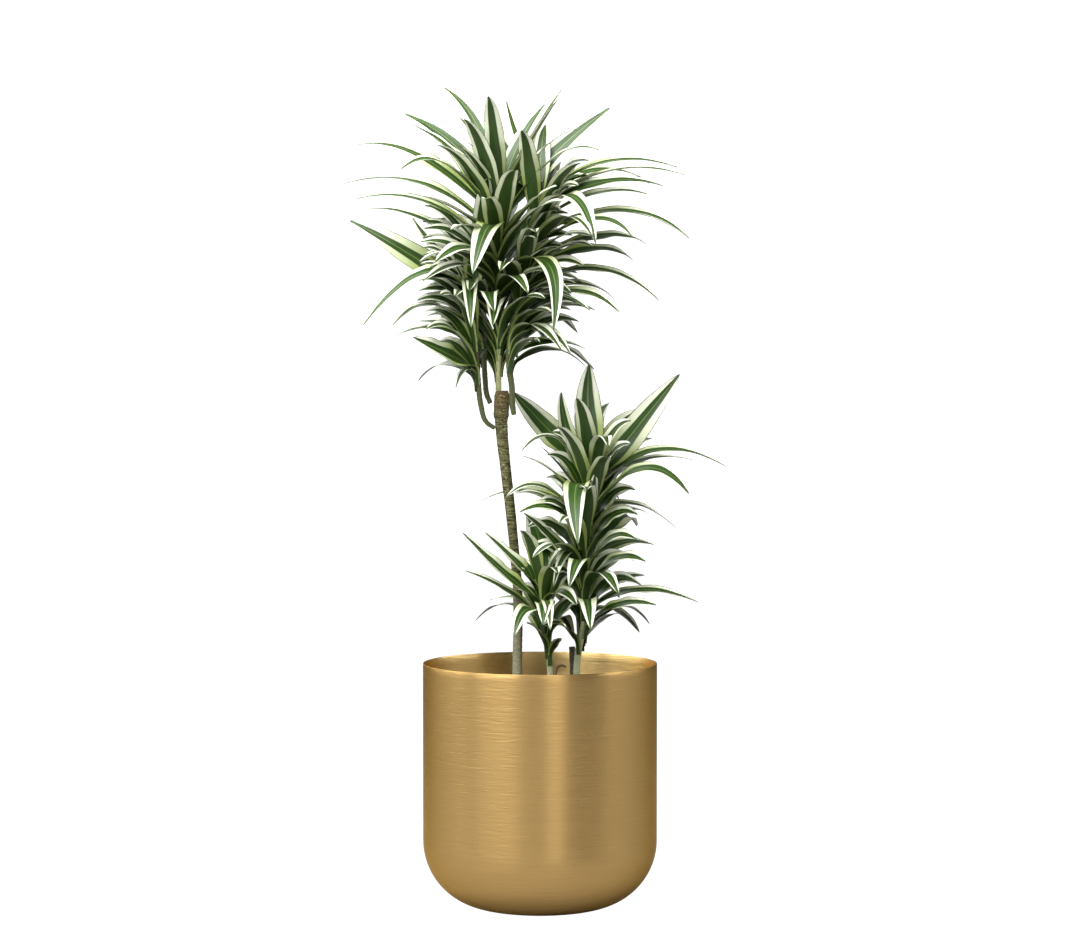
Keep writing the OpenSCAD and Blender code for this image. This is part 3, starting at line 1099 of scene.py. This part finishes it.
@dataclass
class LeafBlade:
    """One leaf: a clasping sheath that opens into a channelled, rippled blade.

    The blade is drawn broader than its plain CAD section, by the factor breadth. fold_deg is the
    half angle of its channel at each of fold_places along it.
    """

    foot: np.ndarray
    arch: np.ndarray
    tip: np.ndarray
    upper: np.ndarray
    half: float
    sheath: float = 16.0 * MM
    sheath_half: float = 5.4 * MM
    joint: float = 0.06
    sheath_steps: int = 5
    blade_steps: int = 26
    columns: int = 11
    blade_end: float = 0.985
    thickness: float = 0.45 * MM
    thinning: float = 0.8
    rib: float = 0.9 * MM
    rib_width: float = 0.14
    breadth: float = 1.27
    fold_places: tuple[float, ...] = (0.0, joint, 0.25, 0.55, 1.0)
    fold_deg: tuple[float, ...] = (80.0, 52.0, 30.0, 20.0, 24.0)
    ripple_heights: Pair = (0.03, 0.12)
    ripple_waves: Pair = (2.0, 4.5)
    ripple_grows: Pair = (0.1, 0.4)
    band_shifts: Pair = (-0.12, 0.08)

    @classmethod
    def read(cls, island: Island) -> "LeafBlade":
        """Spine, upper side and width of a CAD leaf.

        Args:
            island: The leaf's solid.

        Returns:
            The leaf.
        """
        spans = [
            min(np.linalg.norm(island.points[n] - point) for n in island.near[v])
            for v, point in enumerate(island.points)
        ]
        # The tip has no short edge, and from it the solid falls into rings of four points.
        shape = [1] + [4] * len(LEAF_STATIONS)
        for v in sorted(range(len(spans)), key=lambda k: -spans[k]):
            levels = island.levels([v])
            if [len(level) for level in levels] == shape:
                break
        tip = island.points[v]
        rings = [island.points[level] for level in levels[:0:-1]]
        centres, uppers, halves = [], [], []
        for ring in rings:
            gaps = np.linalg.norm(ring[:, None] - ring[None], axis=2)
            a, b = np.unravel_index(np.argmax(gaps), gaps.shape)
            middle = 0.5 * (ring[a] + ring[b])
            ribs = sorted(set(range(4)) - {a, b}, key=lambda k: np.linalg.norm(ring[k] - middle))
            centres.append(0.5 * (ring[ribs[0]] + ring[ribs[1]]))
            uppers.append(ring[ribs[0]] - ring[ribs[1]])
            halves.append(0.5 * gaps[a, b])
        weight = (2.0 * LEAF_STATIONS * (1.0 - LEAF_STATIONS))[:, None]
        fixed = np.outer((1.0 - LEAF_STATIONS) ** 2, centres[0]) + np.outer(LEAF_STATIONS**2, tip)
        arch = (weight * (np.array(centres) - fixed)).sum(axis=0) / (weight**2).sum()
        half = float(np.mean(np.array(halves) / leaf_width(LEAF_STATIONS)))
        return cls(centres[0], arch, tip, unit(np.array(uppers)), half)

    def spine(self) -> tuple[np.ndarray, np.ndarray, np.ndarray, np.ndarray]:
        """Stations of the sheath and the blade.

        Returns:
            Place along the leaf, points, directions and upper sides of the stations.
        """
        blade = np.linspace(self.joint, self.blade_end, self.blade_steps)
        points = (
            np.outer((1 - blade) ** 2, self.foot)
            + np.outer(2 * blade * (1 - blade), self.arch)
            + np.outer(blade**2, self.tip)
        )
        ahead = unit(np.outer(1 - blade, self.arch - self.foot) + np.outer(blade, self.tip - self.arch))
        upper = np.stack([np.interp(blade, LEAF_STATIONS, self.upper[:, k]) for k in range(3)], axis=1)
        out = unit((self.tip - self.foot) * (1.0 - UP))
        start = self.foot - UP * self.sheath
        span = np.linalg.norm(points[0] - start)
        s = (np.arange(self.sheath_steps) / self.sheath_steps)[:, None]
        low = hermite(s, start, span * UP, points[0], span * ahead[0])
        low_ahead = unit((1 - s) * UP + s * ahead[0])
        low_upper = unit((1 - s) * -out + s * upper[0])
        place = np.concatenate([s[:, 0] * self.joint, blade])
        points = np.vstack([low, points])
        ahead = np.vstack([low_ahead, ahead])
        upper = np.vstack([low_upper, upper])
        upper = unit(upper - (upper * ahead).sum(axis=1, keepdims=True) * ahead)
        return place, points, ahead, upper

    def draw(self, shape: Shape, rng: np.random.Generator, warmth: float) -> None:
        """Adds the leaf to a mesh.

        Args:
            shape: The mesh.
            rng: Source of its ripple and tone.
            warmth: How far along the leaf its bands keep their lime tint, which is painted shade.
        """
        place, points, ahead, upper = self.spine()
        across = np.cross(upper, ahead)
        blade_half = self.breadth * self.half * leaf_width(place)
        clasp = 1.0 - smooth(0.0, self.joint, place)
        half = blade_half + clasp * np.maximum(0.0, self.sheath_half - blade_half)
        fold = np.radians(np.interp(place, self.fold_places, self.fold_deg))
        s = np.linspace(-1.0, 1.0, self.columns)
        swing = fold[:, None] * s[None]
        lateral = half[:, None] * np.sin(swing) / np.sin(fold)[:, None]
        rise = half[:, None] * (1.0 - np.cos(swing)) / np.sin(fold)[:, None]
        ripple = rng.uniform(*self.ripple_heights, 2)
        phase = rng.uniform(0.0, TURN, 2)
        waves = rng.uniform(*self.ripple_waves, 2)
        grown = smooth(*self.ripple_grows, place)
        for hand, columns in ((0, s < 0.0), (1, s > 0.0)):
            wave = np.sin(TURN * waves[hand] * place + phase[hand]) * grown
            rise[:, columns] += ripple[hand] * (half * wave)[:, None] * s[None, columns] ** 2
        top = points[:, None] + lateral[..., None] * across[:, None] + rise[..., None] * upper[:, None]
        section = self.thickness + self.rib * np.exp(-((s / self.rib_width) ** 2))
        thick = section[None] * (1.0 - self.thinning * place)[:, None]
        bottom = top - thick[..., None] * upper[:, None]
        rings = np.concatenate([top, bottom[:, -2:0:-1]], axis=1)
        tone, band = rng.uniform(), rng.uniform(*self.band_shifts)
        self.stitch(shape, rings, place, s, tone=tone, warmth=warmth, band=band)

    def stitch(
        self, shape: Shape, rings: np.ndarray, place: np.ndarray, s: np.ndarray, **values: float
    ) -> None:
        """Adds the faces of the leaf.

        Args:
            shape: The mesh.
            rings: Points of each station, over the upper side and back along the lower side.
            place: Place of each station along the leaf.
            s: Place of each column across the leaf, -1 to 1.
            **values: Values of the faces by layer name.
        """
        count, sides = rings.shape[:2]
        last = self.columns - 1
        column = list(range(self.columns)) + list(range(last - 1, 0, -1))
        us = [0.5 + 0.5 * float(s[c]) for c in column]
        first = shape.add(rings.reshape(-1, 3))
        tip = shape.add(self.tip[None, :])
        for k in range(sides):
            n = (k + 1) % sides
            u, w = us[k], us[n]
            values["under"] = 0.0 if k < last else 1.0
            for i in range(count - 1):
                a, b = first + i * sides + k, first + i * sides + n
                low, high = float(place[i]), float(place[i + 1])
                uvs = [(u, low), (u, high), (w, high), (w, low)]
                shape.face([a, a + sides, b + sides, b], uvs, **values)
            a, b = first + (count - 1) * sides + k, first + (count - 1) * sides + n
            end = float(place[-1])
            shape.face([a, tip, b], [(u, end), (0.5, 1.0), (w, end)], **values)
        values["under"] = 1.0
        for c in range(last):
            corners = [first + c, first + c + 1]
            if c + 1 < last:
                corners.append(first + sides - (c + 1))
            if c > 0:
                corners.append(first + sides - c)
            shape.face(corners, [(0.5, 0.0)] * len(corners), **values)


@dataclass
class LeafWhorl(Part):
    """Neighbouring leaves of one shoot that share a CAD node."""

    node: str
    seed: int
    slot: Slot = Slot.LEAF
    # Random spread from leaf to leaf of how far the lime painted shade reaches.
    warmth_spread: float = 0.1

    def build(self, warmth: float) -> bpy.types.Object:
        """Builds the leaves.

        Args:
            warmth: How far along the leaves their bands keep their lime tint, which is painted shade.

        Returns:
            The whorl.
        """
        rng = np.random.default_rng(self.seed)
        shape = Shape()
        for island in islands(self.node):
            own = rng.uniform(-self.warmth_spread, self.warmth_spread)
            LeafBlade.read(island).draw(shape, rng, warmth + own)
        return shape.finish(self.node + "_blades", sharp_deg=60.0)


# ---- Studio ----


@dataclass(frozen=True)
class Softbox:
    """A rectangular soft light that faces the planter's axis.

    Metal mirrors it where it is mirrored, and matt surfaces are lit by it where it lights_matt.
    """

    name: str
    bearing_deg: float
    distance: float
    height: float
    width: float
    tall: float
    power: float
    mirrored: bool = True
    lights_matt: bool = True
    aim_height: float = 0.6

    def build(self) -> None:
        """Adds the light, unseen by the camera; bearing 0 is the front and 90 the right."""
        light = bpy.data.lights.new(self.name, "AREA")
        light.shape = "RECTANGLE"
        light.size, light.size_y = self.width, self.tall
        light.energy = self.power
        lamp = bpy.data.objects.new(self.name, light)
        turn = math.radians(self.bearing_deg)
        lamp.location = (self.distance * math.sin(turn), -self.distance * math.cos(turn), self.height)
        aim = Vector((0.0, 0.0, self.aim_height)) - lamp.location
        lamp.rotation_euler = aim.to_track_quat("-Z", "Y").to_euler()
        lamp.visible_camera = False
        lamp.visible_glossy = self.mirrored
        lamp.visible_diffuse = self.lights_matt
        bpy.context.scene.collection.objects.link(lamp)


class Seen(Enum):
    """Who sees a piece of the studio: the camera alone, or the light alone."""

    BY_CAMERA = (True, False)
    BY_LIGHT = (False, True)


@dataclass
class Studio:
    """Pale floor, white surround, soft lights and camera."""

    camera_distance: float = 4.3
    camera_height: float = 0.798
    aim_height: float = 0.652
    lens_mm: float = 96.1
    sensor_mm: float = 36.0
    floor_size: float = 16.0
    floor_depth: float = 0.5 * MM
    bounce_depth: float = 1.0 * MM
    surround_radius: float = 9.0
    surround_rings: int = 12
    surround_sides: int = 32
    ambient: float = 0.20
    floor_paint: PalePaint = PalePaint("floor_paint", "404040", glow=1.05)
    bounce_paint: PalePaint = PalePaint("bounce_paint", "9C9C9C")
    surround_paint: PalePaint = PalePaint("surround_paint", "FFFFFF", glow=1.05)
    # Bearing, distance, height, width, tall and power of each.
    softboxes: tuple[Softbox, ...] = (
        Softbox("key_left", -45.0, 2.6, 1.7, 2.15, 1.4, 35.0),
        Softbox("wall_left", -102.0, 2.6, 1.9, 2.9, 2.2, 57.0, lights_matt=False),
        Softbox("wall_rear", -150.0, 2.6, 2.0, 2.15, 2.0, 40.0, lights_matt=False),
        Softbox("high_left", -97.0, 1.4, 3.4, 1.5, 1.2, 22.0),
        Softbox("strip_front", 15.0, 2.6, 1.15, 0.75, 2.0, 7.0),
        Softbox("fill_right", 97.0, 2.6, 1.7, 3.0, 1.0, 37.0),
        Softbox("high_key", -48.0, 1.2, 3.1, 0.9, 0.8, 22.0),
        Softbox("overhead", -25.0, 1.1, 3.0, 2.4, 2.4, 95.0),
        Softbox("front_soft", -30.0, 3.4, 2.4, 2.6, 1.6, 60.0, mirrored=False),
    )

    def build(self) -> None:
        """Sets up the whole studio."""
        self.plane("studio_floor", self.floor_depth, self.floor_paint, Seen.BY_CAMERA)
        self.plane("studio_bounce", self.bounce_depth, self.bounce_paint, Seen.BY_LIGHT)
        self.surround()
        world = bpy.data.worlds.new("studio")
        world.use_nodes = True
        back = world.node_tree.nodes["Background"]
        back.inputs["Color"].default_value = (1.0, 1.0, 1.0, 1.0)
        back.inputs["Strength"].default_value = self.ambient
        bpy.context.scene.world = world
        for softbox in self.softboxes:
            softbox.build()
        self.camera()
        bpy.context.scene.view_settings.view_transform = "Standard"

    def stand(self, mesh: bpy.types.Mesh, paint: PalePaint, seen: Seen) -> bpy.types.Object:
        """Puts a piece of the studio in place.

        Args:
            mesh: Its mesh.
            paint: Its paint.
            seen: Who sees it.

        Returns:
            The piece.
        """
        piece = bpy.data.objects.new(mesh.name, mesh)
        mesh.materials.append(paint.build())
        bpy.context.scene.collection.objects.link(piece)
        piece.visible_camera, by_light = seen.value
        piece.visible_diffuse = piece.visible_glossy = piece.visible_transmission = by_light
        piece.visible_shadow = by_light
        return piece

    def plane(self, name: str, depth: float, paint: PalePaint, seen: Seen) -> None:
        """Adds a level plane under the planter.

        Args:
            name: Name of the object.
            depth: How far below the planter's underside it lies.
            paint: Its paint.
            seen: Who sees it.
        """
        h = 0.5 * self.floor_size
        mesh = bpy.data.meshes.new(name)
        mesh.from_pydata([(-h, -h, 0), (h, -h, 0), (h, h, 0), (-h, h, 0)], [], [(0, 1, 2, 3)])
        self.stand(mesh, paint, seen).location = (0.0, 0.0, -depth)

    def surround(self) -> None:
        """Adds the white surround that only the camera sees."""
        lifts = math.pi * (np.arange(self.surround_rings) + 0.5) / self.surround_rings - 0.5 * math.pi
        line = self.surround_radius * np.stack([np.cos(lifts), np.sin(lifts)], axis=1)
        shape = Shape()
        shape.tube(turned(line, self.surround_sides), lifts)
        mesh = bpy.data.meshes.new("studio_surround")
        mesh.from_pydata(shape.points, [], shape.faces)
        self.stand(mesh, self.surround_paint, Seen.BY_CAMERA)

    def camera(self) -> None:
        """Adds the camera, in front and at about two thirds of the plant's height."""
        data = bpy.data.cameras.new("camera")
        data.lens = self.lens_mm
        data.sensor_width = self.sensor_mm
        data.dof.use_dof = False
        camera = bpy.data.objects.new("camera", data)
        camera.location = (0.0, -self.camera_distance, self.camera_height)
        aim = Vector((0.0, 0.0, self.aim_height)) - camera.location
        camera.rotation_euler = aim.to_track_quat("-Z", "Y").to_euler()
        bpy.context.scene.collection.objects.link(camera)
        bpy.context.scene.camera = camera


# ---- The whole plant ----

# Sides of the CAD sections of canes and of shoots.
CANE_SIDES = 16
SHOOT_SIDES = 10

# Kind of each shoot, and how far the bands of its leaves keep their lime tint, painted shade.
SHOOTS = {
    "top_shoot": (ShootKind.CROWN, 0.10),
    "right_shoot": (ShootKind.SIDE, 0.18),
    "left_shoot": (ShootKind.SIDE, 0.15),
    "outer_shoot": (ShootKind.SIDE, 0.15),
    "middle_shoot": (ShootKind.GROUND, 0.20),
    "small_shoot": (ShootKind.GROUND, 0.22),
}

# How much farther the lime tint, painted shade, reaches in the lowest leaves of a shoot.
LOW_PAINTED_SHADE_REACH = 0.18


def build_plant() -> None:
    """Builds soil, canes, shoots and leaves."""
    soil = SoilBed(seed=11)
    soil_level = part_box(soil.node)[1].z
    soil.dress(soil.build(), PottingMix().build())
    canes = {
        BarkKind.CANE: ("tall_cane", CANE_SIDES, {"flare": 0.25}),
        BarkKind.STUMP: ("stump", CANE_SIDES, {"flare": 0.3}),
        BarkKind.ROOT: ("aerial_root", SHOOT_SIDES, {"scar_gap": 4.0 * MM}),
    }
    for kind, (node, sides, sizes) in canes.items():
        stem = RoundStem(node, node + "_bark", Slot.BARK, sides, **sizes)
        stem.dress(stem.build(soil_level), Bark(kind).build())
    skins = {kind: YoungStem(kind).build() for kind in ShootKind}
    leaf = WaxyLeaf().build()
    nodes = [part["node"] for part in frame["record"]["subparts"]]
    for shoot, (kind, warmth) in SHOOTS.items():
        stem = RoundStem(shoot, shoot + "_stem", Slot.STEM, SHOOT_SIDES, scar_gap=7.0 * MM, flare=0.35)
        stem.dress(stem.build(soil_level), skins[kind])
        whorls = [node for node in nodes if node.startswith(shoot + "_leaves_")]
        for i, node in enumerate(whorls):
            # Lower whorls get more of the lime painted shade.
            low = 1.0 - i / len(whorls)
            whorl = LeafWhorl(node, seed=nodes.index(node))
            whorl.dress(whorl.build(warmth + LOW_PAINTED_SHADE_REACH * low), leaf)


def main() -> None:
    planter = Planter()
    cup = Cup.read(planter.node)
    gold = BrushedGold(
        inner_radius=cup.radius - 0.5 * planter.sheet,
        corner_height=cup.low + cup.radius - cup.flat_radius,
    )
    planter.dress(planter.build(), gold.build())
    build_plant()
    Studio().build()


if __name__ == "__main__":
    logging.basicConfig(level=logging.INFO, format="%(message)s")
    main()
